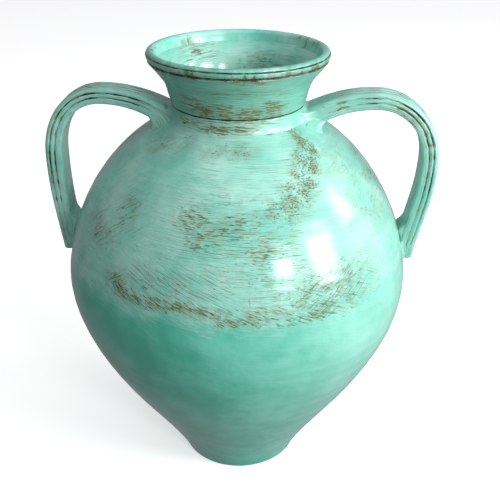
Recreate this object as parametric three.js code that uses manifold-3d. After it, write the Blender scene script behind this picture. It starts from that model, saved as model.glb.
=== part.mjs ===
// Two-handled amphora, thrown in sections that are luted together with stepped joints.
// Millimetres, +Z up, handles on the X axis, origin at the centre of the resting face.

import * as THREE from 'three';
import { mergeVertices } from 'three/addons/utils/BufferGeometryUtils.js';
import Module from 'manifold-3d';

// Outline of the pot
const FOOT_RADIUS = 69.6;
const BELLY_RADIUS = 192;
const BELLY_HEIGHT = 251;
const SHOULDER_HEIGHT = 429;
const NECK_RADIUS = 71.4;
const SHOULDER_LEDGE = 2.6;
const COLLAR_HEIGHT = 15;
const NECK_HEIGHT = 44.5;
const LIP_RADIUS = 96;
const LIP_HEIGHT = 11.5;
const FOOT_EDGE = 2;

// How the outline leaves and meets each level: an angle off the vertical, and a reach along it
const FOOT_FLARE = { angle: 22.7, reach: 76.7 };
const BELLY_FROM_FOOT = { angle: 0, reach: 88.9 };
const BELLY_TO_SHOULDER = { angle: 0, reach: 33.6 };
const SHOULDER_SLOPE = { angle: -65.3, reach: 103 };
const NECK_START = { angle: 14.5, reach: 26.6 };
const NECK_FLARE = { angle: 39.8, reach: 29.3 };

// Wall, and where the thrown sections meet
const WALL = 8;
const FLOOR = 12;
const LIP_BEAD = 4.9;
const LIP_SEAT_INSET = 1.7;
const FOOT_SECTION_HEIGHT = 46;
const BOWL_SECTION_HEIGHT = 160;
const BELLY_SECTION_HEIGHT = 270;
const LAP_HEIGHT = 7;
const JOINT_GAP = 0.3;
const FLATTEST_RISE = 0.3;

// Strap handles, measured along the strap's centre line
const STRAP_WIDTH = 32;
const STRAP_THICKNESS = 18;
const STRAP_CORNER = 6;
const ROOT_BEDDING = 5;
const ROOT_BELOW_COLLAR_TOP = 20;
const ARCH_RUN = 76;
const ARCH_RISE = 5.5;
const BEND_OVERHANG = 14.5;
const BEND_DROP = 68;
const TAIL_DROP = 182;
const TAIL_BEDDING = 9.5;
const ROOT_SLOPE = { angle: 58, reach: 32 };
const ARCH_BACK = { angle: 90, reach: 30 };
const ARCH_FORWARD = { angle: 90, reach: 27 };
const BEND_ABOVE = { angle: 180, reach: 47 };
const BEND_BELOW = { angle: 180, reach: 44 };
const TAIL_SLOPE = { angle: 187, reach: 50 };

// Clay smeared round the handle roots
const LUTE_SPREAD = 7;
const UPPER_LUTE_LENGTH = 25;
const LOWER_LUTE_LENGTH = 24;
const LOWER_LUTE_ABOVE_TAIL = 26;
const LOWER_LUTE_DEPTH = 9;

// Fineness of the faceted solids
const TURN_SEGMENTS = 40;
const STRAP_STEPS = 22;
const CORNER_POINTS = 3;
const LIP_POINTS = 7;
const LUTE_SEGMENTS = 20;
const LUTE_RINGS = 12;
const CURVE_STEP = 1e-7;
const WELD_DISTANCE = 1e-4;

// Levels and radii worked out from the sizes above
const SHOULDER_RADIUS = NECK_RADIUS + SHOULDER_LEDGE;
const COLLAR_TOP = SHOULDER_HEIGHT + COLLAR_HEIGHT;
const LIP_SEAT = COLLAR_TOP + NECK_HEIGHT;
const TOTAL_HEIGHT = LIP_SEAT + LIP_HEIGHT;
const NECK_BORE = NECK_RADIUS - WALL;
const COLLAR_BORE = Math.min(NECK_BORE, SHOULDER_RADIUS - WALL);
const LIP_SEAT_RADIUS = LIP_RADIUS - LIP_SEAT_INSET;

const wasm = await Module();
wasm.setup();

// ---------------------------------------------------------------- outline of the pot

function direction({ angle }) {
  const turn = THREE.MathUtils.degToRad(angle);
  return new THREE.Vector2(Math.sin(turn), Math.cos(turn));
}

// A curve from one (distance, height) point to another that leaves and arrives along two slopes.
function sweepCurve(start, leaving, arriving, end) {
  const startPoint = new THREE.Vector2(...start);
  const endPoint = new THREE.Vector2(...end);
  const startHandle = startPoint.clone().addScaledVector(direction(leaving), leaving.reach);
  const endHandle = endPoint.clone().addScaledVector(direction(arriving), -arriving.reach);
  return new THREE.CubicBezierCurve(startPoint, startHandle, endHandle, endPoint);
}

const bowlCurve = sweepCurve([FOOT_RADIUS, 0], FOOT_FLARE, BELLY_FROM_FOOT, [BELLY_RADIUS, BELLY_HEIGHT]);
const domeCurve = sweepCurve([BELLY_RADIUS, BELLY_HEIGHT], BELLY_TO_SHOULDER, SHOULDER_SLOPE,
  [SHOULDER_RADIUS, SHOULDER_HEIGHT]);
const collarCurve = new THREE.LineCurve(new THREE.Vector2(SHOULDER_RADIUS, SHOULDER_HEIGHT),
  new THREE.Vector2(NECK_RADIUS, COLLAR_TOP));
const neckCurve = sweepCurve([NECK_RADIUS, COLLAR_TOP], NECK_START, NECK_FLARE, [LIP_SEAT_RADIUS, LIP_SEAT]);
const outline = [bowlCurve, domeCurve, collarCurve, neckCurve];

// The outline at a height: its radius there, and how steeply it leans.
function outlineAt(height) {
  const curve = outline.find((piece) => height <= piece.getPoint(1).y) ?? neckCurve;
  let low = 0;
  let high = 1;
  while (high - low > CURVE_STEP) {
    const middle = (low + high) / 2;
    if (curve.getPoint(middle).y < height) low = middle;
    else high = middle;
  }
  return { radius: curve.getPoint(high).x, rise: Math.abs(curve.getTangent(high).y) };
}

const outerRadius = (height) => outlineAt(height).radius;

function innerRadius(height) {
  const { radius, rise } = outlineAt(height);
  const bore = height < SHOULDER_HEIGHT ? COLLAR_BORE : NECK_BORE;
  const wallAcross = WALL / Math.max(rise, FLATTEST_RISE);
  return height < BELLY_HEIGHT ? radius - wallAcross : Math.max(radius - wallAcross, bore);
}

// The outline a joint's gap further out, measured square to the wall.
function clearedRadius(height) {
  const { radius, rise } = outlineAt(height);
  return radius + JOINT_GAP / Math.max(rise, FLATTEST_RISE);
}

const middleRadius = (height) => (outerRadius(height) + innerRadius(height)) / 2;

// Points up or down a wall, at equal steps of height.
function wallPoints(radiusAt, from, to, steps, shift = 0) {
  const points = [];
  for (let i = 0; i <= steps; i++) {
    const height = THREE.MathUtils.lerp(from, to, i / steps);
    points.push(new THREE.Vector2(radiusAt(height) + shift, height));
  }
  return points;
}

// ---------------------------------------------------------------- thrown sections

// The joints that each section lies between, and how finely its two walls are divided.
const footWall = { bottom: FOOT_EDGE - JOINT_GAP / 2, top: FOOT_SECTION_HEIGHT, outerSteps: 5, innerSteps: 3 };
const lowerBowl = { bottom: FOOT_SECTION_HEIGHT, top: BOWL_SECTION_HEIGHT, outerSteps: 6, innerSteps: 6 };
const bellyBand = { bottom: BOWL_SECTION_HEIGHT, top: BELLY_SECTION_HEIGHT, outerSteps: 7, innerSteps: 7 };
const upperDome = { bottom: BELLY_SECTION_HEIGHT, top: SHOULDER_HEIGHT, outerSteps: 12, innerSteps: 9 };
const neckCollar = { bottom: SHOULDER_HEIGHT, top: COLLAR_TOP, outerSteps: 1, innerSteps: 1 };
const flaredNeck = { bottom: COLLAR_TOP, top: LIP_SEAT, outerSteps: 7, innerSteps: 5 };
const wholeWall = [footWall, lowerBowl, bellyBand, upperDome, neckCollar, flaredNeck];

// The outer wall of a section, short of the joints above and below it by half their gap.
function outerWall({ bottom, top, outerSteps }, radiusAt = outerRadius) {
  return wallPoints(radiusAt, bottom + JOINT_GAP / 2, top - JOINT_GAP / 2, outerSteps);
}

// The upper edge of a section: an outer ledge, and an inner tongue that stands up from it.
function tongue(height) {
  const ledge = height - JOINT_GAP / 2;
  const top = height + LAP_HEIGHT - JOINT_GAP / 2;
  return [
    ...wallPoints(middleRadius, ledge, top, 1, -JOINT_GAP / 2),
    new THREE.Vector2(innerRadius(top), top),
  ];
}

// The lower edge of a section: a rebate that drops over the tongue below it.
function rebate(height) {
  const roof = height + LAP_HEIGHT + JOINT_GAP / 2;
  const edge = height + JOINT_GAP / 2;
  return [
    new THREE.Vector2(innerRadius(roof), roof),
    ...wallPoints(middleRadius, roof, edge, 1, JOINT_GAP / 2),
  ];
}

function turn(points) {
  const profile = [...points, points[0]].map((point) => new THREE.Vector2(Math.max(point.x, 0), point.y));
  const geometry = new THREE.LatheGeometry(profile, TURN_SEGMENTS);
  geometry.rotateX(Math.PI / 2);
  return geometry;
}

function footGeometry() {
  const tongueTop = FOOT_SECTION_HEIGHT + LAP_HEIGHT - JOINT_GAP / 2;
  return turn([
    new THREE.Vector2(0, 0),
    new THREE.Vector2(FOOT_RADIUS - FOOT_EDGE, 0),
    ...outerWall(footWall),
    ...tongue(FOOT_SECTION_HEIGHT),
    ...wallPoints(innerRadius, tongueTop, FLOOR, footWall.innerSteps).slice(1),
    new THREE.Vector2(0, FLOOR),
  ]);
}

// A section of wall between two stepped joints.
function sectionGeometry(section) {
  const tongueTop = section.top + LAP_HEIGHT - JOINT_GAP / 2;
  const rebateRoof = section.bottom + LAP_HEIGHT + JOINT_GAP / 2;
  return turn([
    ...outerWall(section),
    ...tongue(section.top),
    ...wallPoints(innerRadius, tongueTop, rebateRoof, section.innerSteps).slice(1, -1),
    ...rebate(section.bottom),
  ]);
}

function neckGeometry() {
  const seat = LIP_SEAT - JOINT_GAP / 2;
  const rebateRoof = COLLAR_TOP + LAP_HEIGHT + JOINT_GAP / 2;
  return turn([
    ...outerWall(flaredNeck),
    ...wallPoints(innerRadius, seat, rebateRoof, flaredNeck.innerSteps).slice(0, -1),
    ...rebate(COLLAR_TOP),
  ]);
}

// The coil laid on the neck and rolled outwards into a rounded lip.
function rimGeometry() {
  const seat = LIP_SEAT + JOINT_GAP / 2;
  const bead = new THREE.Vector2(LIP_RADIUS - LIP_BEAD, TOTAL_HEIGHT - LIP_BEAD);
  const arc = new THREE.EllipseCurve(bead.x, bead.y, LIP_BEAD, LIP_BEAD, -Math.PI / 6, Math.PI);
  return turn([
    new THREE.Vector2(LIP_SEAT_RADIUS, seat),
    ...arc.getPoints(LIP_POINTS),
    new THREE.Vector2(innerRadius(LIP_SEAT), seat),
  ]);
}

// ---------------------------------------------------------------- handles

// The strap's centre line: out of the neck, over the arch, round the bend and down to the belly.
function strapPath() {
  const archHeight = COLLAR_TOP + ARCH_RISE;
  const tailHeight = archHeight - TAIL_DROP;
  const root = [NECK_RADIUS - ROOT_BEDDING, COLLAR_TOP - ROOT_BELOW_COLLAR_TOP];
  const arch = [NECK_RADIUS + ARCH_RUN, archHeight];
  const bend = [BELLY_RADIUS + BEND_OVERHANG, archHeight - BEND_DROP];
  const tail = [outerRadius(tailHeight) + STRAP_THICKNESS / 2 - TAIL_BEDDING, tailHeight];
  const flat = [
    sweepCurve(root, ROOT_SLOPE, ARCH_BACK, arch),
    sweepCurve(arch, ARCH_FORWARD, BEND_ABOVE, bend),
    sweepCurve(bend, BEND_BELOW, TAIL_SLOPE, tail),
  ];
  const standing = ({ x, y }) => new THREE.Vector3(x, 0, y);
  const path = new THREE.CurvePath();
  for (const { v0, v1, v2, v3 } of flat) {
    path.add(new THREE.CubicBezierCurve3(standing(v0), standing(v1), standing(v2), standing(v3)));
  }
  return path;
}

// A rounded rectangle, wide across the pot and thin along its radius.
function strapSection(growth) {
  const corner = STRAP_CORNER + growth;
  const halfWidth = STRAP_WIDTH / 2 + growth - corner;
  const halfThickness = STRAP_THICKNESS / 2 + growth - corner;
  const points = [];
  for (let side = 0; side < 4; side++) {
    const centreX = side === 0 || side === 3 ? halfWidth : -halfWidth;
    const centreY = side < 2 ? halfThickness : -halfThickness;
    for (let i = 0; i < CORNER_POINTS; i++) {
      const angle = (side + i / (CORNER_POINTS - 1)) * Math.PI / 2;
      points.push(new THREE.Vector2(centreX + corner * Math.cos(angle), centreY + corner * Math.sin(angle)));
    }
  }
  return new THREE.Shape(points);
}

function strapGeometry(growth) {
  return new THREE.ExtrudeGeometry(strapSection(growth), { steps: STRAP_STEPS, extrudePath: strapPath() });
}

// The whole pot as one solid block a joint's gap larger, which cuts a bed for what is stuck on it.
function potBlock() {
  return turn([
    new THREE.Vector2(0, FOOT_EDGE),
    ...wholeWall.flatMap((section) => outerWall(section, clearedRadius)),
    new THREE.Vector2(0, LIP_SEAT - JOINT_GAP / 2),
  ]);
}

// An egg of clay pressed round the strap where it leaves the neck.
function upperLuteGeometry() {
  const geometry = new THREE.SphereGeometry(1, LUTE_SEGMENTS, LUTE_RINGS);
  geometry.scale(UPPER_LUTE_LENGTH, STRAP_WIDTH / 2 + LUTE_SPREAD, STRAP_THICKNESS / 2 + LUTE_SPREAD);
  geometry.rotateY(THREE.MathUtils.degToRad(ROOT_SLOPE.angle - 90));
  const root = strapPath().getPointAt(0);
  const rise = ROOT_BEDDING / Math.tan(THREE.MathUtils.degToRad(ROOT_SLOPE.angle));
  geometry.translate(NECK_RADIUS, 0, root.z + rise);
  return geometry;
}

// A smaller one in the crotch between the strap's tail and the belly.
function lowerLuteGeometry() {
  const height = COLLAR_TOP + ARCH_RISE - TAIL_DROP + LOWER_LUTE_ABOVE_TAIL;
  const geometry = new THREE.SphereGeometry(1, LUTE_SEGMENTS, LUTE_RINGS);
  geometry.scale(LOWER_LUTE_DEPTH, STRAP_WIDTH / 2 + LUTE_SPREAD, LOWER_LUTE_LENGTH);
  geometry.translate(outerRadius(height), 0, height);
  return geometry;
}

// ---------------------------------------------------------------- joining and cutting

function solid(geometry) {
  const bare = geometry.clone();
  bare.deleteAttribute('normal');
  bare.deleteAttribute('uv');
  const merged = mergeVertices(bare, WELD_DISTANCE);
  const mesh = new wasm.Mesh({
    numProp: 3,
    vertProperties: new Float32Array(merged.attributes.position.array),
    triVerts: new Uint32Array(merged.index.array),
  });
  return new wasm.Manifold(mesh);
}

function geometryOf(manifold) {
  const mesh = manifold.getMesh();
  const geometry = new THREE.BufferGeometry();
  geometry.setAttribute('position', new THREE.BufferAttribute(mesh.vertProperties, 3));
  geometry.setIndex(new THREE.BufferAttribute(mesh.triVerts, 1));
  geometry.computeVertexNormals();
  return geometry;
}

function cut(geometry, ...cutters) {
  return geometryOf(cutters.reduce((left, cutter) => left.subtract(cutter), solid(geometry)));
}

// ---------------------------------------------------------------- glaze colours

const glaze = (colour) => new THREE.MeshStandardMaterial({ color: colour, roughness: 0.32, metalness: 0 });

function place(geometry, name, colour, turned = 0) {
  const mesh = new THREE.Mesh(geometry, glaze(colour));
  mesh.name = name;
  mesh.rotation.z = turned;
  return mesh;
}

// ---------------------------------------------------------------- the amphora

const amphora = new THREE.Group();
amphora.add(
  place(footGeometry(), 'foot', 0x6fb8a4),
  place(sectionGeometry(lowerBowl), 'lower_bowl', 0x74bca8),
  place(sectionGeometry(bellyBand), 'belly_band', 0x7cc2af),
  place(sectionGeometry(upperDome), 'upper_dome', 0x8cc5b3),
  place(sectionGeometry(neckCollar), 'neck_collar', 0x86c9b4),
  place(neckGeometry(), 'flared_neck', 0x82c6b1),
  place(rimGeometry(), 'rim_coil', 0x8accb8),
);

const block = solid(potBlock());
const strapRoom = solid(strapGeometry(JOINT_GAP));
const strap = cut(strapGeometry(0), block);
const upperLute = cut(upperLuteGeometry(), block, strapRoom);
const lowerLute = cut(lowerLuteGeometry(), block, strapRoom);
for (const [side, turned] of [['right', 0], ['left', Math.PI]]) {
  amphora.add(
    place(strap, `${side}_handle`, 0x8ed0bb, turned),
    place(upperLute, `${side}_upper_lute`, 0x9ad6c3, turned),
    place(lowerLute, `${side}_lower_lute`, 0x9ad6c3, turned),
  );
}

export default amphora;
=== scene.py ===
"""A hand-thrown amphora in brushed turquoise over brown, under a clear varnish."""
import math

import bpy
import numpy as np
from mathutils import Euler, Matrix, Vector


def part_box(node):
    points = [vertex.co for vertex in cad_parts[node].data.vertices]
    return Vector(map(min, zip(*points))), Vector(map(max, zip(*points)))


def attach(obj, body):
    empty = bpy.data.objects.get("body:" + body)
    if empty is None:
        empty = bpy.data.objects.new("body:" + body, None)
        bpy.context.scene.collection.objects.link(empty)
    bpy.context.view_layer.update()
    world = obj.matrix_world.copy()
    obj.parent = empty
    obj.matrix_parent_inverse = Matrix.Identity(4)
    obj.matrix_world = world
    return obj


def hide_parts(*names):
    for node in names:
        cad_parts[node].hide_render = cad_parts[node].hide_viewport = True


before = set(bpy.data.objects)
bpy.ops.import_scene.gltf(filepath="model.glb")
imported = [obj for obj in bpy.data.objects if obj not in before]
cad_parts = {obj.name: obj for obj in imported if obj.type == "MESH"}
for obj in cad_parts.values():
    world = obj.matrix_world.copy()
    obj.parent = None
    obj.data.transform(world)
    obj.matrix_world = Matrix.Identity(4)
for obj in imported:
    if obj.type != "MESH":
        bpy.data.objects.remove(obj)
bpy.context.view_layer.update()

MM = 0.001


# ---------------------------------------------------------------- levels of the pot, in millimetres

def lowest(node):
    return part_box(node)[0].z / MM


def half_width(node):
    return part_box(node)[1].y / MM


FOOT_JOINT = lowest("lower_bowl")
BOWL_JOINT = lowest("belly_band")
BELLY_JOINT = lowest("upper_dome")
SHOULDER = lowest("neck_collar")
SEAM = lowest("flared_neck")
LIP_SEAT = lowest("rim_coil")
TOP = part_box("rim_coil")[1].z / MM
BELLY_RADIUS = half_width("belly_band")
LIP_RADIUS = half_width("rim_coil")

FOOT_RADIUS = 69.6
BELLY_HEIGHT = 251
SHOULDER_RADIUS = 74
NECK_RADIUS = 71.4
LIP_SEAT_RADIUS = LIP_RADIUS - 1.7
WALL = 8
FLOOR = 12
LIP_BEAD = 4.9

# ---------------------------------------------------------------- camera and light

CAMERA_DISTANCE = 0.8196
CAMERA_HEIGHT = 0.6843
CAMERA_SWING = 4.3
CAMERA_HEADING = 3.4
CAMERA_PITCH = 27.07
CAMERA_ROLL = 0.2
CAMERA_LENS = 56.9
SENSOR_WIDTH = 36
WINDOW_AIM = 0.30
FLOOR_SIZE = 24


def make_camera():
    camera = bpy.data.objects.new("Camera", bpy.data.cameras.new("Camera"))
    bpy.context.scene.collection.objects.link(camera)
    swing = math.radians(CAMERA_SWING)
    camera.location = (CAMERA_DISTANCE * math.sin(swing), -CAMERA_DISTANCE * math.cos(swing), CAMERA_HEIGHT)
    camera.rotation_mode = "XYZ"
    camera.rotation_euler = Euler((math.radians(90 - CAMERA_PITCH), 0, math.radians(CAMERA_HEADING)))
    camera.rotation_euler = (
        camera.rotation_euler.to_matrix() @ Euler((0, 0, math.radians(CAMERA_ROLL))).to_matrix()
    ).to_euler()
    camera.data.lens = CAMERA_LENS
    camera.data.sensor_width = SENSOR_WIDTH
    bpy.context.scene.camera = camera


def make_window(name, azimuth, elevation, distance, size, power):
    """A soft rectangular light, looking at the pot from that side. Azimuth 0 is the front, 90 the right."""
    light = bpy.data.lights.new(name, "AREA")
    light.shape = "RECTANGLE"
    light.size, light.size_y = size
    light.energy = power
    turn, rise = math.radians(azimuth), math.radians(elevation)
    way = Vector((math.sin(turn) * math.cos(rise), -math.cos(turn) * math.cos(rise), math.sin(rise)))
    lamp = bpy.data.objects.new(name, light)
    lamp.location = Vector((0, 0, WINDOW_AIM)) + way * distance
    lamp.rotation_mode = "QUATERNION"
    lamp.rotation_quaternion = way.to_track_quat("Z", "Y")
    bpy.context.scene.collection.objects.link(lamp)


# ---------------------------------------------------------------- node writing

class Wire:
    """A node's output that works in arithmetic; make() adds any other node."""

    def __init__(self, tree, socket=None):
        self.tree = tree
        self.socket = socket

    def make(self, kind, settings=None, sockets=None, output=0):
        node = self.tree.nodes.new(kind)
        for name, value in (settings or {}).items():
            setattr(node, name, value)
        for name, value in (sockets or {}).items():
            if isinstance(value, Wire):
                self.tree.links.new(value.socket, node.inputs[name])
            else:
                node.inputs[name].default_value = value
        return Wire(self.tree, node.outputs[output])

    def out(self, name):
        return Wire(self.tree, self.socket.node.outputs[name])

    def math(self, operation, *values):
        return self.make("ShaderNodeMath", {"operation": operation}, dict(enumerate(values)))

    def __add__(self, other):
        return self.math("ADD", self, other)

    def __radd__(self, other):
        return self.math("ADD", other, self)

    def __sub__(self, other):
        return self.math("SUBTRACT", self, other)

    def __rsub__(self, other):
        return self.math("SUBTRACT", other, self)

    def __mul__(self, other):
        return self.math("MULTIPLY", self, other)

    def __rmul__(self, other):
        return self.math("MULTIPLY", other, self)

    def __truediv__(self, other):
        return self.math("DIVIDE", self, other)

    def __rtruediv__(self, other):
        return self.math("DIVIDE", other, self)

    def smooth(self, low, high):
        """0 below low and 1 above high, with soft shoulders."""
        return self.make(
            "ShaderNodeMapRange",
            {"interpolation_type": "SMOOTHSTEP"},
            {"Value": self, "From Min": low, "From Max": high},
        )

    def vector(self, x, y, z):
        return self.make("ShaderNodeCombineXYZ", sockets={"X": x, "Y": y, "Z": z})

    def most(self, other):
        return self.math("MAXIMUM", self, other)

    def least(self, other):
        return self.math("MINIMUM", self, other)


def make_studio():
    """A room with its windows on the right: brighter there and overhead, dimmer on the left and below."""
    world = bpy.data.worlds.new("Studio")
    bpy.context.scene.world = world
    world.use_nodes = True
    sky = world.node_tree.nodes["Background"]
    sky.inputs["Color"].default_value = (0.96, 0.98, 1, 1)
    graph = Wire(world.node_tree)
    way = graph.make("ShaderNodeSeparateXYZ", sockets={
        "Vector": graph.make("ShaderNodeTexCoord", output="Generated")})
    level = (0.335 + way.out("X") * 0.12 + way.out("Z") * 0.04).most(0.05)
    world.node_tree.links.new(level.socket, sky.inputs["Strength"])
    make_window("Bright wall", 84, 10, 3.2, (3.0, 2.0), 12)
    make_window("Tall window", 66, 17, 3.0, (0.95, 1.4), 76)
    make_window("High pane", 98, 27, 3.0, (0.6, 0.8), 18)
    make_window("Small window", 35, 19, 3.0, (0.5, 0.7), 30)
    make_window("Ceiling", 10, 80, 2.6, (2.6, 2.6), 15)


def new_tree(name, inputs):
    """A geometry tree with a geometry input and the named sizes; returns its start and its inputs."""
    tree = bpy.data.node_groups.new(name, "GeometryNodeTree")
    tree.interface.new_socket("Geometry", in_out="OUTPUT", socket_type="NodeSocketGeometry")
    tree.interface.new_socket("Geometry", in_out="INPUT", socket_type="NodeSocketGeometry")
    for label, kind in inputs.items():
        tree.interface.new_socket(label, in_out="INPUT", socket_type="NodeSocket" + kind)
    start = tree.nodes.new("NodeGroupInput")
    graph = Wire(tree)
    return graph, {socket.name: Wire(tree, socket) for socket in start.outputs if socket.name}


def end_tree(graph, geometry, material):
    geometry = graph.make("GeometryNodeMergeByDistance", sockets={"Geometry": geometry, "Distance": 1e-5})
    geometry = graph.make("GeometryNodeRealizeInstances", sockets={"Geometry": geometry})
    geometry = graph.make("GeometryNodeSetMaterial", sockets={"Geometry": geometry, "Material": material})
    finish = graph.tree.nodes.new("NodeGroupOutput")
    graph.tree.links.new(geometry.socket, finish.inputs["Geometry"])
    return graph.tree


def sample(graph, geometry, value, index, kind="FLOAT_VECTOR"):
    """The value at the point of that number in another mesh."""
    return graph.make(
        "GeometryNodeSampleIndex", {"data_type": kind}, {"Geometry": geometry, "Value": value, "Index": index}
    )


def grid_counts(graph, across, along):
    """A sheet of points to be rolled up, and each point's column and row as whole numbers."""
    sheet = graph.make(
        "GeometryNodeMeshGrid",
        sockets={"Size X": 1.0, "Size Y": 1.0, "Vertices X": across + 1, "Vertices Y": along + 1},
    )
    number = graph.make("GeometryNodeInputIndex") + 0.5
    column = graph.math("FLOOR", number / (along + 1))
    row = graph.math("FLOOR", graph.math("MODULO", number, along + 1))
    return sheet, column, row


# ---------------------------------------------------------------- outline of the pot

def swoop(start, leaving, arriving, end, count=90):
    """A smooth curve; leaving and arriving are an angle off the vertical and a reach along it."""
    def step(angle, reach):
        return reach * np.array([math.sin(math.radians(angle)), math.cos(math.radians(angle))])

    start, end = np.array(start, float), np.array(end, float)
    after, before = start + step(*leaving), end - step(*arriving)
    t = np.linspace(0, 1, count)[:, None]
    return (1 - t) ** 3 * start + 3 * (1 - t) ** 2 * t * after + 3 * (1 - t) * t**2 * before + t**3 * end


OUTLINE = np.vstack([
    swoop((FOOT_RADIUS, 0), (22.7, 76.7), (0, 88.9), (BELLY_RADIUS, BELLY_HEIGHT)),
    swoop((BELLY_RADIUS, BELLY_HEIGHT), (0, 33.6), (-65.3, 103), (SHOULDER_RADIUS, SHOULDER))[1:],
    swoop((NECK_RADIUS, SEAM), (14.5, 26.6), (39.8, 29.3), (LIP_SEAT_RADIUS, LIP_SEAT)),
])
LEVEL_STEP = 0.25
LEVELS = np.arange(0, LIP_SEAT + LEVEL_STEP / 2, LEVEL_STEP)
COLLAR_HOLLOW, COLLAR_SOFTNESS = 7, 1.7


def soften(values, spread):
    """Evens out values that are given level by level."""
    reach = int(3 * spread / LEVEL_STEP)
    weights = np.exp(-0.5 * (np.arange(-reach, reach + 1) * LEVEL_STEP / spread) ** 2)
    return np.convolve(np.pad(values, reach, mode="edge"), weights / weights.sum(), mode="valid")


def outline_radii():
    """The outline's radius at each level, with the corner under the collar filled to a soft hollow."""
    sharp = np.interp(LEVELS, OUTLINE[:, 1], OUTLINE[:, 0])
    near = np.exp(-(((LEVELS - SHOULDER) / COLLAR_HOLLOW) ** 4))
    return sharp + (soften(sharp, COLLAR_SOFTNESS) - sharp) * near


RADII = outline_radii()
LENGTHS = np.concatenate([[0], np.cumsum(np.hypot(np.diff(RADII), np.diff(LEVELS)))])


def radius_at(height):
    return np.interp(height, LEVELS, RADII)


def inner_radius(height):
    slope = np.interp(height, LEVELS, np.gradient(RADII, LEVELS))
    radius = radius_at(height) - WALL * np.sqrt(1 + slope**2)
    bore = NECK_RADIUS - WALL
    return np.where(height < BELLY_HEIGHT, radius, np.maximum(radius, bore))


# The wet wall settled to one side in a slight bow: how far, at what height, and over how much of it
BOW = 2
BOW_HEIGHT, BOW_SPREAD = 325, 100
LEAN = -BOW * np.exp(-(((LEVELS - BOW_HEIGHT) / BOW_SPREAD) ** 4))

# ---------------------------------------------------------------- thrown sections

ROW_SPACING = 2.2
INNER_SPACING = 6.0
SEGMENTS = 360
SEAM_DEPTH, SEAM_SPREAD = 1.2, 0.65
LIP_LINE, LIP_LINE_DEPTH, LIP_LINE_SPREAD = LIP_SEAT + 1.7, 0.9, 0.7
GROOVE_STEPS = np.array([-2.2, -1.5, -1.1, -0.8, -0.55, -0.3, 0, 0.3, 0.55, 0.8, 1.1, 1.5, 2.2])
LEAST_ROW = 0.12
FOOT_EDGE = 2.5
FLOOR_CORNER = 14
FLOOR_DIP = 0.5
BEAD_LINE, BEAD_LINE_DEPTH, BEAD_LINE_SPREAD = 22, 0.8, 8


def line(place, middle, spread):
    """1 in the middle of a line, fading out to both sides."""
    return np.exp(-(((place - middle) / spread) ** 2))


def scored(height):
    """How deep the two scored lines cut into the wall at a height."""
    seam = SEAM_DEPTH * line(height, SEAM, SEAM_SPREAD)
    return seam + LIP_LINE_DEPTH * line(height, LIP_LINE, LIP_LINE_SPREAD)


def wall_levels(low, high, spacing):
    """Heights at even steps along the outline, closer together where a line is scored."""
    start, stop = np.interp([low, high], LEVELS, LENGTHS)
    count = max(2, round((stop - start) / spacing))
    heights = np.interp(np.linspace(start, stop, count + 1), LENGTHS, LEVELS)
    extra = np.concatenate([line + GROOVE_STEPS for line in (SEAM, LIP_LINE)])
    if spacing < INNER_SPACING:
        heights = np.concatenate([heights, extra[(extra > low) & (extra < high)]])
    heights = np.sort(np.concatenate([[low, high], heights]))
    return heights[np.concatenate([[True], np.diff(heights) > LEAST_ROW])]


def wall_profile(low, high):
    outer = wall_levels(low, high, ROW_SPACING)
    inner = wall_levels(low, high, INNER_SPACING)[::-1]
    return np.vstack([
        np.column_stack([radius_at(outer) - scored(outer), outer]),
        np.column_stack([inner_radius(inner), inner]),
    ])


def foot_profile():
    """The foot has a shallow hollow underneath and a rounded edge, and its floor runs up into the wall."""
    turns = np.radians(np.linspace(-90, -20, 7))
    rounded = np.column_stack([radius_at(FOOT_EDGE) - FOOT_EDGE + FOOT_EDGE * np.cos(turns),
                               FOOT_EDGE + FOOT_EDGE * np.sin(turns)])
    under = np.array([[0, 1.6], [20, 1.6], [40, 1.6], [54, 1.5], [58, 0.7], [61, 0.1], [64, 0]])
    wall = wall_profile(FOOT_EDGE, FOOT_JOINT)
    wall = wall[wall[:, 0] > 0]
    corner_top = FLOOR + FLOOR_CORNER
    wall = wall[~((wall[:, 1] < corner_top) & (wall[:, 0] < radius_at(wall[:, 1]) - WALL / 2))]
    sweep = np.radians(np.linspace(0, -90, 7))
    corner = inner_radius(corner_top) - FLOOR_CORNER
    hollow = np.column_stack([corner + FLOOR_CORNER * np.cos(sweep),
                              corner_top + FLOOR_CORNER * np.sin(sweep)])
    dip = FLOOR - FLOOR_DIP
    floor = np.array([[45, FLOOR], [30, FLOOR - 0.3], [15, dip], [0, dip]])
    return np.vstack([under, rounded, wall, hollow, floor])


def rim_profile():
    """A rolled bead, with a line scored round its outer shoulder."""
    centre = np.array([LIP_RADIUS - LIP_BEAD, TOP - LIP_BEAD])
    turns = np.radians(np.arange(-42, 181, 3))
    groove = BEAD_LINE_DEPTH * line(np.degrees(turns), BEAD_LINE, BEAD_LINE_SPREAD)
    bead = centre + (LIP_BEAD - groove)[:, None] * np.column_stack([np.cos(turns), np.sin(turns)])
    rise = np.linspace(LIP_SEAT, bead[0, 1], 14)[:-1]
    band = np.interp(rise, [LIP_SEAT, bead[0, 1]], [LIP_SEAT_RADIUS, bead[0, 0]]) - scored(rise)
    seat = np.array([[inner_radius(LIP_SEAT), LIP_SEAT], [LIP_SEAT_RADIUS - 5, LIP_SEAT]])
    fall = np.linspace(bead[-1, 1], LIP_SEAT, 6)[1:-1]
    inside = np.interp(fall, [LIP_SEAT, bead[-1, 1]], [seat[0, 0], bead[-1, 0]])
    return np.vstack([np.column_stack([band, rise]), bead, np.column_stack([inside, fall]), seat])


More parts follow.
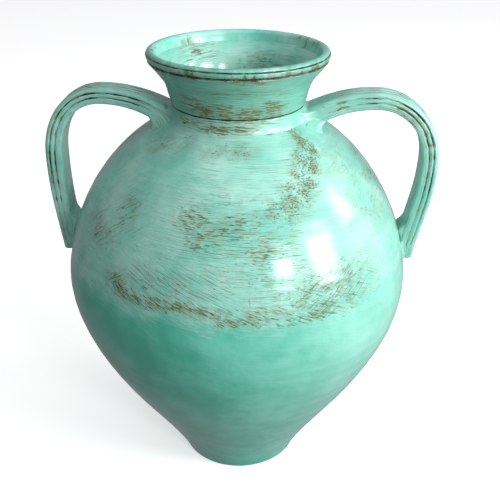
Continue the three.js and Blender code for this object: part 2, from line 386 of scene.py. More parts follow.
def turning_tree():
    """Turns a closed profile round the upright axis, and adds the thrower's finger rings and slight dents."""
    graph, given = new_tree("Turned section", {
        "Segments": "Int", "Rows": "Int", "Ring Depth": "Float", "Ring Spacing": "Float",
        "Dent Depth": "Float", "Seed": "Float", "Material": "Material",
    })
    sheet, column, row = grid_counts(graph, given["Segments"], given["Rows"])
    place = sample(graph, given["Geometry"], graph.make("GeometryNodeInputPosition"),
                   graph.math("MODULO", row + 0.01, given["Rows"]))
    profile = graph.make("ShaderNodeSeparateXYZ", sockets={"Vector": place})
    radius, height = profile.out("X"), profile.out("Z")
    angle = column / given["Segments"] * (2 * math.pi)
    around, forward = graph.math("COSINE", angle), graph.math("SINE", angle)
    noise = {"noise_dimensions": "4D"}
    drift = graph.make("ShaderNodeTexNoise", noise, {
        "Vector": graph.vector(around * 0.5, forward * 0.5, height * 9), "W": given["Seed"],
        "Scale": 1.6, "Detail": 1.0,
    })
    dents = graph.make("ShaderNodeTexNoise", noise, {
        "Vector": graph.vector(around * 1.1, forward * 1.1, height * 14), "W": given["Seed"] + 9,
        "Scale": 1.5, "Detail": 2.0,
    })
    rings = graph.math("SINE", height / given["Ring Spacing"] * (2 * math.pi) + drift * 16)
    push = rings * given["Ring Depth"] + (dents - 0.9) * given["Dent Depth"]
    pushed = radius + push * (radius / 0.04).least(1)
    rolled = graph.make("GeometryNodeSetPosition", sockets={
        "Geometry": sheet, "Position": graph.vector(pushed * around, pushed * forward, height),
    })
    return end_tree(graph, rolled, given["Material"])


# ---------------------------------------------------------------- strap handles

STRAP_WIDTH = 32
STRAP_THICKNESS = 18
STRAP_CORNER = 5.5
INNER_CORNER = STRAP_CORNER * 0.45
STRAP_STEP = 1.3
RING_STEP = 0.75
# Grooves along each edge: level above the strap's middle, depth, half width
EDGE_GROOVES = ((3.6, 1.5, 0.95), (-1.7, 1.2, 0.9))
# Grooves down the back: place across the strap, depth
BACK_GROOVES = ((-7.5, 0.8), (0.5, 0.9), (8, 0.7))
BACK_GROOVE_SPREAD = 1.5

ARCH = {"right": (147, 449.5), "left": (147, 449.5)}
BEND = {"right": (208, 381), "left": (200.5, 381)}
TAIL = {"right": (190, 267), "left": (191, 266)}
ROOT = (66, 424)
ROOT_SLOPE = (58, 32)


def strap_path(side):
    arch, bend, tail = ARCH[side], BEND[side], TAIL[side]
    path = np.vstack([
        swoop(ROOT, ROOT_SLOPE, (90, 30), arch),
        swoop(arch, (90, 27), (180, 47), bend)[1:],
        swoop(bend, (180, 44), (187, 50), tail)[1:],
    ])
    run = np.concatenate([[0], np.cumsum(np.hypot(*np.diff(path, axis=0).T))])
    even = np.linspace(0, run[-1], round(run[-1] / STRAP_STEP) + 1)
    return np.column_stack([np.interp(even, run, path[:, 0]), np.interp(even, run, path[:, 1])]), even


def strap_section():
    """A rounded bar, flat inside, with two grooves along each edge and three down its back."""
    half, deep = STRAP_WIDTH / 2, STRAP_THICKNESS / 2
    points = []
    for side, (cx, cy) in enumerate(((1, 1), (-1, 1), (-1, -1), (1, -1))):
        radius = STRAP_CORNER if cy > 0 else INNER_CORNER
        for turn in np.radians(np.linspace(90 * side, 90 * side + 90, 12)):
            points.append((cx * (half - radius) + radius * math.cos(turn),
                           cy * (deep - radius) + radius * math.sin(turn)))
    points = np.array(points)
    loop = np.vstack([points, points[:1]])
    run = np.concatenate([[0], np.cumsum(np.hypot(*np.diff(loop, axis=0).T))])
    even = np.linspace(0, run[-1], round(run[-1] / RING_STEP) + 1)[:-1]
    ring = np.column_stack([np.interp(even, run, loop[:, 0]), np.interp(even, run, loop[:, 1])])
    ahead, behind = np.roll(ring, -1, axis=0), np.roll(ring, 1, axis=0)
    along = ahead - behind
    normal = np.column_stack([along[:, 1], -along[:, 0]]) / np.hypot(*along.T)[:, None]
    carve = np.zeros(len(ring))
    for edge in (-1, 1):
        for level, depth, spread in EDGE_GROOVES:
            near = (ring[:, 0] * edge > half * 0.7) * line(ring[:, 1], level, spread)
            carve = np.maximum(carve, depth * near)
    for across, depth in BACK_GROOVES:
        near = (ring[:, 1] > deep * 0.6) * line(ring[:, 0], across, BACK_GROOVE_SPREAD)
        carve = np.maximum(carve, depth * near)
    return ring, normal, carve, even


def strap_tree():
    """Sweeps the section along the path, square to it, with each path point's own width and thickness."""
    graph, given = new_tree("Strap", {
        "Section": "Object", "Around": "Int", "Steps": "Int", "Groove Depth": "Float", "Material": "Material",
    })
    sheet, column, row = grid_counts(graph, given["Around"], given["Steps"])
    section = graph.make("GeometryNodeObjectInfo", sockets={"Object": given["Section"]}, output="Geometry")
    position = graph.make("GeometryNodeInputPosition")
    spot = graph.math("MODULO", column + 0.01, given["Around"])

    def named(name, kind="FLOAT"):
        return graph.make("GeometryNodeInputNamedAttribute", {"data_type": kind}, {"Name": name})

    ring = graph.make("ShaderNodeSeparateXYZ", sockets={"Vector": sample(graph, section, position, spot)})
    inward = graph.make("ShaderNodeSeparateXYZ", sockets={
        "Vector": sample(graph, section, named("carve", "FLOAT_VECTOR"), spot)})
    centre = graph.make("ShaderNodeSeparateXYZ", sockets={
        "Vector": sample(graph, given["Geometry"], position, row)})
    heading = graph.make("ShaderNodeSeparateXYZ", sockets={
        "Vector": sample(graph, given["Geometry"], named("heading", "FLOAT_VECTOR"), row)})
    width = sample(graph, given["Geometry"], named("width"), row, "FLOAT")
    thickness = sample(graph, given["Geometry"], named("thickness"), row, "FLOAT")
    carving = sample(graph, given["Geometry"], named("carving"), row, "FLOAT") * given["Groove Depth"]
    across = (ring.out("X") + inward.out("X") * carving) * width
    outward = (ring.out("Y") + inward.out("Y") * carving) * thickness
    swept = graph.make("GeometryNodeSetPosition", sockets={
        "Geometry": sheet,
        "Position": graph.vector(centre.out("X") - heading.out("Z") * outward, across,
                                 centre.out("Z") + heading.out("X") * outward),
    })
    for name, value in (("groove", inward.make("ShaderNodeVectorMath", {"operation": "LENGTH"}, {
            0: sample(graph, section, named("carve", "FLOAT_VECTOR"), spot)}, "Value") * carving),
            ("along", row), ("round", column)):
        swept = graph.make("GeometryNodeStoreNamedAttribute", {"data_type": "FLOAT", "domain": "POINT"},
                           {"Geometry": swept, "Name": name, "Value": value})
    return end_tree(graph, swept, given["Material"])


# ---------------------------------------------------------------- making meshes

CREASE_ANGLE = 48


def link_mesh(name, points, edges=(), faces=()):
    mesh = bpy.data.meshes.new(name)
    mesh.from_pydata([tuple(p) for p in points], list(edges), list(faces))
    thing = bpy.data.objects.new(name, mesh)
    bpy.context.scene.collection.objects.link(thing)
    return thing


def chain(name, points):
    """A string of points in the upright plane through the handles, given in millimetres."""
    flat = np.column_stack([points[:, 0], np.zeros(len(points)), points[:, 1]]) * MM
    return link_mesh(name, flat, [(i, i + 1) for i in range(len(flat) - 1)])


def store(mesh, name, kind, values, field="value"):
    layer = mesh.attributes.new(name, kind, "POINT")
    layer.data.foreach_set(field, np.asarray(values, np.float32).ravel())


def grow(thing, tree, **sizes):
    """Runs the tree on the object, and leaves a plain mesh with its faces outwards."""
    modifier = thing.modifiers.new("Grow", "NODES")
    modifier.node_group = tree
    for item in tree.interface.items_tree:
        key = item.name.lower().replace(" ", "_")
        if item.in_out == "INPUT" and key in sizes:
            modifier[item.identifier] = sizes[key]
    layer = bpy.context.evaluated_depsgraph_get()
    made = bpy.data.meshes.new_from_object(thing.evaluated_get(layer), depsgraph=layer)
    thing.modifiers.clear()
    thing.data = made
    made.name = thing.name
    if volume(made) < 0:
        made.flip_normals()
    smooth_faces(made)


def volume(mesh):
    mesh.calc_loop_triangles()
    points = coordinates(mesh)
    corners = np.zeros(len(mesh.loop_triangles) * 3, np.int32)
    mesh.loop_triangles.foreach_get("vertices", corners)
    a, b, c = points[corners.reshape(-1, 3)].transpose(1, 0, 2)
    return np.einsum("ij,ij->i", a, np.cross(b, c)).sum() / 6


def smooth_faces(mesh):
    mesh.shade_smooth()
    mesh.set_sharp_from_angle(angle=math.radians(CREASE_ANGLE))


def coordinates(mesh):
    points = np.zeros(len(mesh.vertices) * 3)
    mesh.vertices.foreach_get("co", points)
    return points.reshape(-1, 3)


def lean(mesh):
    """Moves every level sideways as the wet wall sat."""
    points = coordinates(mesh)
    points[:, 0] += np.interp(points[:, 2] / MM, LEVELS, LEAN) * MM
    mesh.vertices.foreach_set("co", points.ravel())
    mesh.update()


def turned(name, profile, material):
    thing = chain(name, profile)
    grow(thing, TURNING, segments=SEGMENTS, rows=len(profile), ring_depth=0.0001, ring_spacing=0.017,
         dent_depth=0.0011, seed=3.0, material=material)
    return thing


# ---------------------------------------------------------------- wear

WEAR_LINE = 279
MARK_KINDS = ("flat", "falling", "rising", "speckle")

# Each zone: the kind of mark, how many, between which azimuths in degrees round from the front, between
# which heights, half the width and half the height of a mark, and how hard the brown shows through
OUTER_ZONES = (
    ("flat", 5, (-70, 80), (LIP_SEAT - 3, LIP_SEAT + 4), (30, 4), 1.0),
    ("flat", 3, (-20, 40), (SEAM + 24, SEAM + 34), (20, 5), 0.6),
    ("flat", 4, (-45, 45), (SEAM + 5, SEAM + 14), (20, 9), 1.15),
    ("flat", 3, (-45, 15), (SEAM - 10, SEAM - 6), (20, 5), 1.1),
    ("speckle", 4, (-60, 20), (SHOULDER - 14, SHOULDER - 6), (16, 8), 0.7),
    ("flat", 5, (-15, 15), (345, 395), (17, 11), 0.9),
    ("rising", 4, (-55, -35), (300, 365), (16, 14), 0.7),
    ("falling", 9, (-35, 30), (WEAR_LINE + 2, WEAR_LINE + 16), (28, 6), 1.0),
    ("falling", 2, (-25, -15), (300, 325), (38, 24), 0.45),
    ("rising", 3, (30, 40), (290, 310), (32, 18), 0.7),
    ("falling", 2, (30, 40), (290, 300), (32, 20), 0.65),
    ("speckle", 4, (50, 70), (335, 400), (28, 22), 0.5),
    ("flat", 2, (0, 15), (330, 370), (65, 34), 0.46),
    ("speckle", 3, (-20, 20), (265, 320), (5, 4), 1.0),
)
INNER_ZONES = (
    ("flat", 6, (-180, 180), (465, 485), (26, 9), 0.8),
    ("flat", 5, (-180, 180), (491, 498), (20, 4), 0.85),
    ("speckle", 2, (-180, 180), (497, 499), (6, 3), 1.2),
)
OUTER_SEED, INNER_SEED, BACK_SEED = 4, 5, 7
SMEAR_STEPS = 5
SMEAR_AZIMUTH, SMEAR_TURN = 50, 27
SMEAR_HEIGHT, SMEAR_FALL = SHOULDER - 12, 42
SMEAR_WIDTH, SMEAR_WIDENING, SMEAR_TALL = 10, 12, 13
SMEAR_STRENGTH, SMEAR_FADING = 1.35, 0.4
CRACK_AZIMUTH, CRACK_LOW, CRACK_HIGH = 8, 290, 342
CRACK_WIDTH, CRACK_STRENGTH = 1.1, 0.6
BACK_PATCHES = 46


def scattered(zones, seed):
    """The patches of worn paint, drawn at random within their zones."""
    draw = np.random.default_rng(seed)
    patches = []
    for kind, count, azimuths, heights, (across, up), strength in zones:
        for step in range(count):
            part = (step + draw.uniform(0.2, 0.8)) / count
            azimuth = azimuths[0] + (azimuths[1] - azimuths[0]) * part
            patches.append((kind, azimuth, draw.uniform(*heights), across * draw.uniform(0.75, 1.3),
                            up * draw.uniform(0.75, 1.3), strength * draw.uniform(0.85, 1.15)))
    return patches


def smear():
    """One long smear that runs down from the right handle's root towards the front, wider as it goes."""
    patches = []
    for step in range(SMEAR_STEPS):
        part = step / (SMEAR_STEPS - 1)
        azimuth, height = SMEAR_AZIMUTH - SMEAR_TURN * part, SMEAR_HEIGHT - SMEAR_FALL * part
        width, strength = SMEAR_WIDTH + SMEAR_WIDENING * part, SMEAR_STRENGTH - SMEAR_FADING * part
        patches.append(("speckle", azimuth, height, width, SMEAR_TALL, strength))
    return patches


def back_patches():
    """The same brush went all round: more patches, drawn at random over the half that faces away."""
    draw = np.random.default_rng(BACK_SEED)
    kinds = ("flat", "flat", "falling", "rising", "speckle")
    patches = []
    for _ in range(BACK_PATCHES):
        azimuth = 180 + draw.uniform(-104, 104)
        height = draw.choice([draw.uniform(286, 425), draw.uniform(278, 290), draw.uniform(446, 470)])
        patches.append((kinds[draw.integers(len(kinds))], azimuth, height, draw.uniform(9, 36),
                        draw.uniform(5, 18), draw.uniform(0.45, 1.0)))
    return patches


def turn_between(azimuth, other):
    return (azimuth - other + 180) % 360 - 180


def wear_masks(azimuth, height, radius, patches):
    masks = {kind: np.zeros(len(height)) for kind in MARK_KINDS}
    for kind, where, level, half_across, half_up, strength in patches:
        across = np.radians(turn_between(azimuth, where)) * radius / half_across
        distance = np.hypot(across, (height - level) / half_up)
        masks[kind] = np.maximum(masks[kind], strength * np.exp(-0.7 * distance**3))
    return masks


def wall_grime(azimuth, height, radius):
    """Dark wax in the scored lines and along the collar's ledge, and a fine crack down the shoulder."""
    seam = line(height, SEAM, 0.8)
    lip = 0.78 * line(height, LIP_LINE, 2.0)
    centre = (LIP_RADIUS - LIP_BEAD, TOP - LIP_BEAD)
    turn = np.degrees(np.arctan2(height - centre[1], radius - centre[0]))
    on_bead = height > LIP_SEAT + 1
    bead = 0.80 * line(turn, BEAD_LINE, 15) * on_bead * (radius > centre[0])
    bead += 0.52 * line(turn, 158, 10) * on_bead * (radius < centre[0])
    ledge = line(height, SHOULDER - 0.5, 0.8) * np.exp(-((turn_between(azimuth, 33) / 13) ** 4))
    ledge_left = line(height, SHOULDER + 3, 1.6) * np.exp(-((turn_between(azimuth, -54) / 4) ** 4))
    crack = np.exp(-((np.radians(turn_between(azimuth, CRACK_AZIMUTH)) * radius / CRACK_WIDTH) ** 2))
    crack *= ((height > CRACK_LOW) & (height < CRACK_HIGH)) * CRACK_STRENGTH
    return np.clip(seam + lip + bead + 0.7 * ledge + 0.55 * ledge_left, 0, 1), crack


def ramp(value, low, high):
    """0 below low and 1 above high, with soft shoulders."""
    t = np.clip((value - low) / (high - low), 0, 1)
    return t * t * (3 - 2 * t)


def brush_lay(azimuth, height):
    """Which way the bristles ran: level, falling to the right or rising to the right."""
    left = ramp(-azimuth, 16, 34) * ramp(azimuth, -150, -120)
    right = ramp(azimuth, 40, 60) * ramp(-azimuth, -150, -120)
    low = 1 - ramp(height, 318, 345)
    rising = left * (1 - low) * 0.7 + right * 0.6
    falling = low * ramp(-azimuth, -14, 4) * ramp(azimuth, -60, -34) + 0.35 * right
    cross = low * ramp(azimuth, 18, 30) * ramp(-azimuth, -62, -50)
    rising = np.clip(rising + cross, 0, 1)
    falling = np.clip(falling + cross, 0, 1)
    above = ramp(height, SHOULDER - 8, SHOULDER)
    rising, falling = rising * (1 - above), falling * (1 - above)
    return np.clip(1 - 0.85 * np.maximum(rising, falling), 0, 1), falling, rising


def mark_wall(mesh):
    points = coordinates(mesh) / MM
    azimuth = np.degrees(np.arctan2(points[:, 0], -points[:, 1]))
    radius, height = np.hypot(points[:, 0], points[:, 1]), points[:, 2]
    outside = (radius > radius_at(np.minimum(height, LIP_SEAT)) - WALL / 2) & (height > 1)
    worn = (*scattered(OUTER_ZONES, OUTER_SEED), *smear(), *back_patches())
    masks = wear_masks(azimuth, height, radius, worn)
    inside = wear_masks(azimuth, height, radius, scattered(INNER_ZONES, INNER_SEED))
    grime, crack = wall_grime(azimuth, height, radius)
    flat = np.where(outside, masks["flat"], inside["flat"])
    speckle = np.where(outside, np.maximum(masks["speckle"], crack), inside["speckle"])
    ones = np.ones(len(height))
    colour = np.column_stack([flat, masks["falling"] * outside, masks["rising"] * outside, ones])
    store(mesh, "strokes", "FLOAT_COLOR", colour, "color")
    store(mesh, "wear", "FLOAT_COLOR", np.column_stack([speckle, grime * outside, outside, ones]), "color")
    store(mesh, "lay", "FLOAT_COLOR", np.column_stack([*brush_lay(azimuth, height), ones]), "color")
    store(mesh, "climb", "FLOAT", np.interp(height, LEVELS, LENGTHS))


# ---------------------------------------------------------------- paint

UPPER_PALE = (0.40, 0.74, 0.63, 1)
UPPER_DEEP = (0.17, 0.57, 0.47, 1)
TEAL_PALE = (0.14, 0.55, 0.44, 1)
TEAL_DEEP = (0.05, 0.42, 0.30, 1)
NECK_TEAL = (0.13, 0.45, 0.34, 1)
# Colour of the painted highlights along the bristle ridges
RIDGE_HIGHLIGHT = (0.55, 0.80, 0.72, 1)
STAIN = (0.27, 0.35, 0.24, 1)
BRISTLE = (0.09, 0.19, 0.10, 1)
OLIVE = (0.13, 0.16, 0.02, 1)
BROWN = (0.11, 0.06, 0.03, 1)
WAX = (0.022, 0.012, 0.022, 1)
# How steeply the bristles ran where they lie level, fall to the right and rise to the right
BRUSH_SLOPES = (0.06, 0.45, -0.62)


def blend(graph, factor, first, second):
    return graph.make("ShaderNodeMix", {"data_type": "RGBA"}, {0: factor, 6: first, 7: second}, 2)


def noise(graph, vector, detail=2.0, roughness=0.55):
    return graph.make("ShaderNodeTexNoise", sockets={
        "Vector": vector, "Scale": 1.0, "Detail": detail, "Roughness": roughness})


def channels(graph, attribute):
    colour = graph.make("ShaderNodeAttribute", {"attribute_name": attribute}, output="Color")
    parts = graph.make("ShaderNodeSeparateColor", sockets={"Color": colour})
    return [parts.out(part) for part in ("Red", "Green", "Blue")]


def painted_clay(name, follows_strap=False):
    """Turquoise brushed thinly over a brown ground: bare where the bristles skipped, and varnished."""
    material = bpy.data.materials.new(name)
    material.use_nodes = True
    tree = material.node_tree
    surface = tree.nodes["Principled BSDF"]
    graph = Wire(tree)
    spot = graph.make("ShaderNodeTexCoord", output="Object")
    place = graph.make("ShaderNodeSeparateXYZ", sockets={"Vector": spot})
    x, y, z = (place.out(axis) / MM for axis in "XYZ")
    radius = graph.math("SQRT", x * x + y * y) + 0.01
    arc = graph.math("ARCTAN2", x, 0 - y) * radius
    climb = graph.make("ShaderNodeAttribute", {"attribute_name": "climb"}, output="Fac")
    flat, falling, rising = channels(graph, "strokes")
    speckle, grime, outside = channels(graph, "wear")
    lay = channels(graph, "lay")

    def brush(length, width, slope=0.0, seed=0.0):
        """Noise drawn out into bristle marks of that length and width."""
        if follows_strap:
            along = graph.make("ShaderNodeSeparateXYZ", sockets={
                "Vector": graph.make("ShaderNodeUVMap", {"uv_map": "strap"})})
            return noise(graph, graph.vector(along.out("X") / length, seed, along.out("Y") / width))
        return noise(graph, graph.vector(
            x / length, y / length, (climb + arc * slope) / width + seed * 31), 2.0, 0.6)

    def cloud(size, seed=0.0):
        return noise(graph, graph.vector(x / size + seed, y / size, z / size), 3.0)

    wander, mottle, break_up = cloud(55, 3), cloud(26, 5), cloud(11, 4)
    ragged = z + (cloud(24, 8) - 0.5) * 30 + (brush(30, 2, 0.1) - 0.5) * 16
    worn = ragged.smooth(WEAR_LINE - 13, WEAR_LINE + 10)
    if follows_strap:
        worn = worn.most(1)
    hair = [brush(24, 0.8, slope, 10 + number) for number, slope in enumerate(BRUSH_SLOPES)]
    dash = [brush(7, 1.15, slope, 20 + number) for number, slope in enumerate(BRUSH_SLOPES)]

    cover = (wander * 0.6 + mottle * 0.3 + brush(40, 4, seed=2) * 0.2).smooth(0.36, 0.78)
    upper = blend(graph, cover, UPPER_DEEP, UPPER_PALE)
    lower = blend(graph, (wander * 0.7 + mottle * 0.35).smooth(0.36, 0.74), TEAL_DEEP, TEAL_PALE)
    # Painted reflection: the lower paint turns paler towards the right side, standing in for the sheen of a
    # bright wall on that side.
    painted_sheen = x.smooth(-20, 190) * (0.30 + 0.5 * wander)
    lower = blend(graph, painted_sheen, lower, UPPER_PALE)
    paint = blend(graph, worn, lower, upper)
    paint = blend(graph, z.smooth(SEAM - 12, SEAM + 8) * outside * 0.8, paint, NECK_TEAL)

    # Painted highlights: pale streaks along the bristle ridges, standing in for the glint of light on their
    # relief.
    ridge_highlight = hair[0].smooth(0.46, 0.30) * lay[0]
    for mark, weight in zip(hair[1:], lay[1:]):
        ridge_highlight = ridge_highlight.most(mark.smooth(0.46, 0.30) * weight)
    ridge_highlight = ridge_highlight * wander.smooth(0.35, 0.6)
    paint = blend(graph, ridge_highlight * (0.12 + worn * 0.30), paint, RIDGE_HIGHLIGHT)

    patches = flat.most(falling).most(rising).most(speckle)
    stain = patches * break_up.smooth(0.30, 0.62) * worn
    paint = blend(graph, (stain * 0.62).least(0.6), paint, STAIN)
    hairs = hair[0].smooth(0.52, 0.66) * (lay[0] * 0.45 + flat * 0.8)
    for mark, weight, patch in zip(hair[1:], lay[1:], (falling, rising)):
        hairs = hairs.most(mark.smooth(0.52, 0.68) * (weight * 0.55 + patch * 0.5))
    hairs = hairs * worn * (0.12 + 0.95 * cloud(30, 6).smooth(0.38, 0.62)) + hairs * patches * 0.4
    paint = blend(graph, hairs.least(0.85), paint, BRISTLE)

    bare = noise(graph, graph.vector(x / 2.2 + 40, y / 2.2, z / 2.2), 1.0).smooth(0.755, 0.80) * worn
    crumbs = noise(graph, graph.vector(x / 2.4, y / 2.4, climb / 1.8), 3.0, 0.65)
    for patch, mark in zip((flat, falling, rising, speckle), (*dash, crumbs)):
        patch = patch * (0.30 + 1.2 * break_up)
        bare = bare.most((mark + patch * 0.22).smooth(0.70, 0.80) * patch.smooth(0.05, 0.3))
    ground = blend(graph, cloud(9, 1).smooth(0.46, 0.66), OLIVE, BROWN)
    paint = blend(graph, bare * 0.86, paint, ground)
    waxed = (grime * (0.15 + 1.5 * cloud(9, 7))).smooth(0.34, 0.62)
    paint = blend(graph, waxed, paint, blend(graph, cloud(7, 9).smooth(0.5, 0.66), WAX, OLIVE))

    relief = (hair[0] + dash[0]) * lay[0] + (hair[1] + dash[1]) * lay[1] + (hair[2] + dash[2]) * lay[2]
    height = (0 - relief) * (0.25 + worn * 0.6) + mottle * 1.1 + wander * 3 - bare * 0.6 - waxed * 0.5
    bump = graph.make("ShaderNodeBump", sockets={"Strength": 0.8, "Distance": 0.0008, "Height": height})
    gloss = 1 - bare * 0.45 - hairs * 0.2
    for socket, value in (("Base Color", paint), ("Roughness", 0.46 + bare * 0.2),
                          ("Coat Weight", gloss * 0.9), ("Normal", bump)):
        tree.links.new(value.socket, surface.inputs[socket])
    surface.inputs["Coat Roughness"].default_value = 0.19
    surface.inputs["Coat IOR"].default_value = 1.5
    surface.inputs["Specular IOR Level"].default_value = 0.35
    return material


# ---------------------------------------------------------------- pieces

make_camera()
make_studio()
bpy.context.scene.view_settings.view_transform = "Standard"

TURNING = turning_tree()
STRAP = strap_tree()
WALL_PAINT = painted_clay("Brushed turquoise wall")
STRAP_PAINT = painted_clay("Brushed turquoise strap", follows_strap=True)


def keep(piece, nodes):
    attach(piece, "root")
    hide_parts(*nodes)


def make_walls():
    sections = (
        ("Foot", foot_profile(), "foot", "teal_wash"),
        ("Lower bowl", wall_profile(FOOT_JOINT, BOWL_JOINT), "lower_bowl", "teal_wash"),
        ("Belly band", wall_profile(BOWL_JOINT, BELLY_JOINT), "belly_band", "teal_wash"),
        ("Upper dome", wall_profile(BELLY_JOINT, SHOULDER), "upper_dome", "brushed_turquoise"),
        ("Neck collar", wall_profile(SHOULDER, SEAM), "neck_collar", "brushed_turquoise"),
        ("Flared neck", wall_profile(SEAM, LIP_SEAT), "flared_neck", "brushed_turquoise"),
        ("Rolled lip", rim_profile(), "rim_coil", "brushed_turquoise"),
    )
    for name, profile, node, slot in sections:
        piece = turned(name.replace(" ", "_"), profile, WALL_PAINT)
        mark_wall(piece.data)
        lean(piece.data)
        keep(piece, [node])


def end_rounding(run, length, cap):
    """1 along the strap, falling to nothing over the last stretch as a quarter circle."""
    left = np.clip((length - run) / cap, 0, 1)
    return np.sqrt(np.clip(1 - (1 - left) ** 2, 0, 1))


ROOT_PARTING = 350
LUTE_SKIN = 0.8
LUTE_LIFT = 0.06
LUTE_SETTLES = 3
# How far the smeared clay reaches from the strap, by height
SMEAR_HEIGHTS = (262, 285, 322, 360, 400, 410)
SMEAR_REACHES = (1.2, 3, 7, 7, 14, 14)


def surface_gap(points):
    """How far points stand off the pot's outer wall, in millimetres."""
    radius, height = np.hypot(points[:, 0], points[:, 1]), points[:, 2]
    slope = np.interp(height, LEVELS, np.gradient(RADII, LEVELS))
    return (radius - radius_at(height)) / np.sqrt(1 + slope**2)


def pot_normal(points):
    """The direction that points straight out of the pot's wall."""
    radius, height = np.hypot(points[:, 0], points[:, 1]), points[:, 2]
    slope = np.interp(height, LEVELS, np.gradient(RADII, LEVELS))
    out = np.column_stack([points[:, 0] / radius, points[:, 1] / radius, -slope])
    return out / np.sqrt(1 + slope**2)[:, None]


def smeared(points, normals):
    """The strap's skin flared out into the pot: broad at the neck, thin at the tail, round in the crotch."""
    gap, facing = surface_gap(points), -np.einsum("ij,ij->i", normals, pot_normal(points))
    spread = np.interp(points[:, 2], SMEAR_HEIGHTS, SMEAR_REACHES)
    spread = np.where(points[:, 2] > 360, spread - 10 * ramp(normals[:, 2], 0.3, 0.8), spread)
    bridge = np.where(points[:, 2] > ROOT_PARTING, 7.5, 9.0)
    close = np.clip(spread - np.maximum(gap, 0), 0, None)
    beside = spread - np.sqrt(np.maximum(spread**2 - close**2, 0))
    left = np.clip((bridge + 2 - gap) / 4, 0, 1)
    under = np.maximum(gap, 0) * (1 - np.sqrt(1 - left**2))
    weight = ramp(facing, 0.35, 0.75)
    pushed = points + normals * (beside * (1 - weight) + LUTE_LIFT)[:, None]
    target = gap - under * weight + LUTE_LIFT - 0.5 * (gap < 0.5)
    for _ in range(LUTE_SETTLES):
        pushed -= pot_normal(pushed) * ((surface_gap(pushed) - target) * (target < spread + 3))[:, None]
    return pushed, (gap < np.maximum(spread, bridge * weight + 3)) & (gap > -9)


def make_lute(side, root, mesh, points, normals, material):
    """The clay smeared round one root, as a thin closed skin that runs out from the strap to the pot."""
    pushed, near = smeared(points, normals)
    high = points[:, 2] > ROOT_PARTING
    near = near & (high if root == "upper" else ~high)
    kept = [face.vertices[:] for face in mesh.polygons if near[list(face.vertices)].all()]
    used = sorted({v for face in kept for v in face})
    number = {v: i for i, v in enumerate(used)}
    kept = [tuple(number[v] for v in face) for face in kept]
    inner = points[used] - normals[used] * LUTE_SKIN
    count = len(used)
    edges = {(a, b) for face in kept for a, b in zip(face, face[1:] + face[:1])}
    rims = [(b, a, a + count, b + count) for a, b in edges if (b, a) not in edges]
    faces = kept + [tuple(v + count for v in reversed(face)) for face in kept] + rims
    lute = link_mesh(f"{side}_{root}_lute_skin", np.vstack([pushed[used], inner]) * MM, faces=faces)
    lute.data.materials.append(material)
    smooth_faces(lute.data)
    return lute, used


def make_strap(side):
    """One handle: a swept strap, and the clay smeared round its two roots."""
    path, run = strap_path(side)
    heading = np.gradient(path, axis=0)
    heading /= np.hypot(*heading.T)[:, None]
    spine = chain(f"{side}_strap", path)
    upright = np.column_stack([heading[:, 0], np.zeros(len(path)), heading[:, 1]])
    store(spine.data, "heading", "FLOAT_VECTOR", upright, "vector")
    part = run / run[-1]
    flare = 1 + 0.20 * np.exp(-((run / 34) ** 2))
    swell = 1 + 0.05 * np.sin(part * 9 + (1 if side == "right" else 2.2))
    ends = end_rounding(run, run[-1], 5)
    store(spine.data, "width", "FLOAT", flare * ends)
    store(spine.data, "thickness", "FLOAT", swell * (1 + 0.12 * np.exp(-((run / 30) ** 2))) * ends)
    store(spine.data, "carving", "FLOAT",
          np.clip((run - 28) / 18, 0, 1) * np.clip((run[-1] - run - 8) / 40, 0, 1))
    ring, normal, carve, around = strap_section()
    section = chain(f"{side}_section", ring)
    flat = np.column_stack([ring[:, 0], ring[:, 1], np.zeros(len(ring))]) * MM
    section.data.vertices.foreach_set("co", flat.ravel())
    inward = -normal * carve[:, None] * MM
    store(section.data, "carve", "FLOAT_VECTOR", np.column_stack([inward, np.zeros(len(ring))]), "vector")
    grow(spine, STRAP, section=section, around=len(ring), steps=len(path) - 1, groove_depth=1.0,
         material=STRAP_PAINT)
    bpy.data.objects.remove(section)
    mark_strap(spine.data, run, side)
    pieces = [(spine, f"{side}_handle")]
    mesh = spine.data
    points, normals = coordinates(mesh) / MM, np.zeros(len(mesh.vertices) * 3)
    mesh.vertex_normals.foreach_get("vector", normals)
    for root in ("upper", "lower"):
        lute, used = make_lute(side, root, mesh, points, normals.reshape(-1, 3), STRAP_PAINT)
        copy_marks(mesh, lute.data, used)
        pieces.append((lute, f"{side}_{root}_lute"))
    for piece, node in pieces:
        if side == "left":
            turned_about = coordinates(piece.data) * (-1, -1, 1)
            piece.data.vertices.foreach_set("co", turned_about.ravel())
        lean(piece.data)
        keep(piece, [node])


def read(mesh, name):
    values = np.zeros(len(mesh.vertices), np.float32)
    mesh.attributes[name].data.foreach_get("value", values)
    return values


def lay_strap_map(mesh, along, ring):
    """A map that runs along and around the strap, in millimetres."""
    loops = np.zeros(len(mesh.loops), np.int32)
    mesh.loops.foreach_get("vertex_index", loops)
    layer = mesh.uv_layers.new(name="strap")
    layer.data.foreach_set("uv", np.column_stack([along[loops], ring[loops]]).astype(np.float32).ravel())


def copy_marks(source, target, used):
    """Gives a lute's two skins the marks of the strap that they lie on."""
    twice = np.tile(used, 2)
    for name in ("strokes", "wear", "lay"):
        values = np.zeros(len(source.vertices) * 4, np.float32)
        source.attributes[name].data.foreach_get("color", values)
        values = values.reshape(-1, 4)[twice]
        if name == "wear":
            values[:, 1] *= 0.3
        store(target, name, "FLOAT_COLOR", values, "color")
    lay_strap_map(target, read(source, "distance")[twice], read(source, "round")[twice] * RING_STEP)


STRAP_PATCHES = 14
KNOT_SPACING = 9
GROOVE_FULL = 1.1


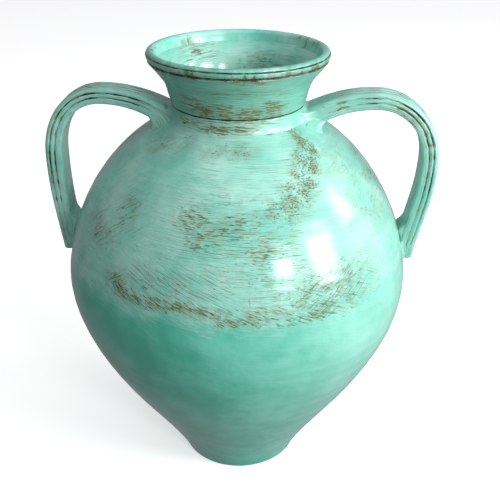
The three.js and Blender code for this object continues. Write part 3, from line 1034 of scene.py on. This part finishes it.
def mark_strap(mesh, run, side):
    """Bare patches on a strap, and wax that comes and goes along its grooves."""
    along = np.interp(read(mesh, "along"), np.arange(len(run)), run)
    ring = read(mesh, "round") * RING_STEP
    store(mesh, "distance", "FLOAT", along)
    store(mesh, "climb", "FLOAT", along)
    lay_strap_map(mesh, along, ring)
    draw = np.random.default_rng(3 if side == "right" else 5)
    flat = np.full(len(along), 0.30)
    for _ in range(STRAP_PATCHES):
        spot, level = draw.uniform(30, run[-1] - 30), draw.uniform(0, 90)
        distance = np.hypot((along - spot) / draw.uniform(10, 34), (ring - level) / draw.uniform(3, 8))
        flat = np.maximum(flat, draw.uniform(0.5, 1.0) * np.exp(-0.7 * distance**3))
    knots = np.arange(0, run[-1] + KNOT_SPACING, KNOT_SPACING)
    strong = np.interp(along, knots, draw.uniform(0.18, 0.92, len(knots)))
    groove = read(mesh, "groove") / MM / GROOVE_FULL
    grime = np.clip(groove, 0, 1) * strong
    rubbed = np.interp(along, knots + 4, draw.uniform(0.1, 1.3, len(knots)))
    flat = np.maximum(flat, np.clip(groove * 4, 0, 1) * rubbed)
    zero, ones = np.zeros(len(along)), np.ones(len(along))
    store(mesh, "strokes", "FLOAT_COLOR", np.column_stack([flat, zero, zero, ones]), "color")
    store(mesh, "wear", "FLOAT_COLOR", np.column_stack([zero, grime, zero, ones]), "color")
    store(mesh, "lay", "FLOAT_COLOR", np.column_stack([ones, zero, zero, ones]), "color")


def make_floor():
    half = FLOOR_SIZE / 2
    floor = link_mesh("Floor", [(-half, -half, 0), (half, -half, 0), (half, half, 0), (-half, half, 0)],
                      faces=[(0, 1, 2, 3)])
    material = bpy.data.materials.new("Pale floor")
    material.use_nodes = True
    surface = material.node_tree.nodes["Principled BSDF"]
    surface.inputs["Base Color"].default_value = (0.8, 0.8, 0.8, 1)
    surface.inputs["Roughness"].default_value = 0.9
    surface.inputs["Emission Color"].default_value = (1, 1, 1, 1)
    surface.inputs["Emission Strength"].default_value = 0.55
    floor.data.materials.append(material)
    floor.visible_diffuse = False
    floor.visible_glossy = False


make_walls()
for hand in ("right", "left"):
    make_strap(hand)
make_floor()
